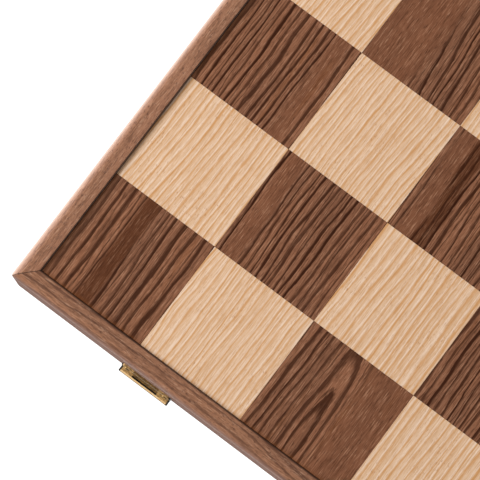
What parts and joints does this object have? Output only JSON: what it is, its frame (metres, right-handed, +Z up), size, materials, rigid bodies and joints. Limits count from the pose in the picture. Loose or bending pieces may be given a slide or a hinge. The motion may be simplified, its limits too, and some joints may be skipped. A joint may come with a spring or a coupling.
{
  "type": "folding chess set",
  "caption": "Folding wooden chess box opened flat as a board: walnut and oak squares in a lipped walnut frame, brass hinges and latches, chessmen stored in padded trays.",
  "frame": {"origin": "middle of the open board, on the table under the hinge knuckles", "axes": "+X along the front (keeper) edge, +Y from the front edge to the rear (flap) edge, +Z up through the playing side"},
  "size_m": [0.3792, 0.3863, 0.0356],
  "materials": {
    "walnut_rail": "satin lacquer",
    "walnut_veneer": "satin lacquer",
    "oak_veneer": "satin lacquer",
    "plywood": "raw",
    "velvet": "green velvet over foam",
    "felt": "green felt",
    "antique_brass": "antiqued, satin",
    "boxwood": "gloss lacquer",
    "ebonised_wood": "gloss lacquer"
  },
  "bodies": {
    "front_tray": {"front_hinge_leaves": "antique_brass", "front_hinge_rail": "walnut_rail", "front_hinge_screws": "antique_brass", "front_left_rail": "walnut_rail", "front_oak_squares": "oak_veneer", "front_panel": "plywood", "front_pawn_cushion": "velvet", "front_piece_cushion": "velvet", "front_rail": "walnut_rail", "front_right_rail": "walnut_rail", "front_walnut_squares": "walnut_veneer", "hinge_pins": "antique_brass", "latch_keeper_left": "antique_brass", "latch_keeper_nails": "antique_brass", "latch_keeper_right": "antique_brass", "white_bishops": "boxwood", "white_felts": "felt", "white_king": "boxwood", "white_knights": "boxwood", "white_pawns": "boxwood", "white_queen": "boxwood", "white_rooks": "boxwood"},
    "rear_tray": {"black_bishops": "ebonised_wood", "black_felts": "felt", "black_king": "ebonised_wood", "black_knights": "ebonised_wood", "black_pawns": "ebonised_wood", "black_queen": "ebonised_wood", "black_rooks": "ebonised_wood", "latch_base_left": "antique_brass", "latch_base_nails": "antique_brass", "latch_base_right": "antique_brass", "latch_pins": "antique_brass", "rear_hinge_leaves": "antique_brass", "rear_hinge_rail": "walnut_rail", "rear_hinge_screws": "antique_brass", "rear_left_rail": "walnut_rail", "rear_oak_squares": "oak_veneer", "rear_panel": "plywood", "rear_pawn_cushion": "velvet", "rear_piece_cushion": "velvet", "rear_rail": "walnut_rail", "rear_right_rail": "walnut_rail", "rear_walnut_squares": "walnut_veneer"},
    "flap_left": {"latch_flap_left": "antique_brass"},
    "flap_right": {"latch_flap_right": "antique_brass"}
  },
  "joints": [
    {"name": "board_fold", "type": "hinge", "parent": "front_tray", "child": "rear_tray", "pos_m": [0, 0, 0.0015], "axis": [-1, 0, 0], "range_deg": [0, 180]},
    {"name": "latch_left_swing", "type": "hinge", "parent": "rear_tray", "child": "flap_left", "pos_m": [-0.1275, 0.1922, 0.00965], "axis": [-1, 0, 0], "range_deg": [0, 180]},
    {"name": "latch_right_swing", "type": "hinge", "parent": "rear_tray", "child": "flap_right", "pos_m": [0.1275, 0.1922, 0.00965], "axis": [-1, 0, 0], "range_deg": [0, 180]}
  ]
}
